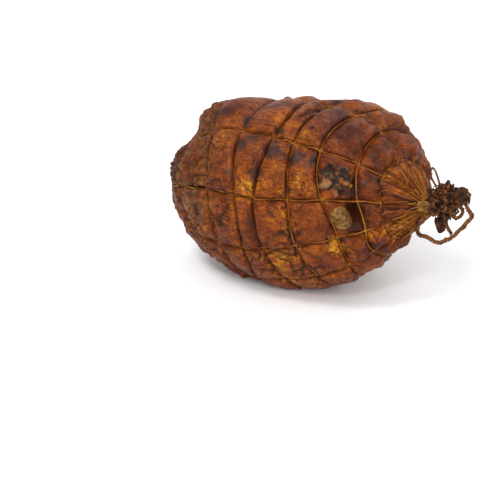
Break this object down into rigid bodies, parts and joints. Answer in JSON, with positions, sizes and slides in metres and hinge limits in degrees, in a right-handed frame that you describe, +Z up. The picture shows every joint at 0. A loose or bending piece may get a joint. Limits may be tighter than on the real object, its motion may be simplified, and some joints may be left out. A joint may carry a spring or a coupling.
{
  "type": "smoked ham",
  "caption": "Boneless smoked ham in a tied string net, lying on its side; the net quilts the meat and ends in a knotted tangle of string.",
  "frame": {"origin": "centre of the bounding box of the meat, net and knot, on the flat surface that the ham lies on", "axes": "+Z up; X along the meat with the tied neck and its tangle of string at +X and the heel at -X; -Y is the front"},
  "size_m": [0.226, 0.1331, 0.1231],
  "materials": {
    "smoked_skin": "moist glossy smoked skin, reddish brown with amber patches and sooty creases",
    "net_string": "smoke-stained golden-brown cotton string, slightly oily",
    "dark_string": "dark smoke-blackened tangled string"
  },
  "bodies": {
    "root": {"ham_meat": "smoked_skin", "net_cord_1": "net_string", "net_cord_2": "net_string", "net_cord_3": "net_string", "net_cord_4": "net_string", "net_cord_5": "net_string", "net_cord_6": "net_string", "net_cord_7": "net_string", "net_cord_8": "net_string", "net_cord_9": "net_string", "net_cord_10": "net_string", "net_hoop_1": "net_string", "net_hoop_2": "net_string", "net_hoop_3": "net_string", "net_hoop_4": "net_string", "net_hoop_5": "net_string", "net_hoop_6": "net_string", "net_hoop_7": "net_string", "net_hoop_8": "net_string", "net_hoop_9": "net_string", "neck_sleeve": "net_string", "neck_tie": "dark_string", "heel_sleeve": "net_string", "heel_tie": "dark_string", "knot_tangle": "dark_string", "knot_end": "dark_string", "knot_drop": "dark_string", "loop_top": "net_string", "loop_low": "net_string", "loop_side": "net_string", "string_tip": "net_string", "loop_ring": "net_string"}
  },
  "joints": []
}
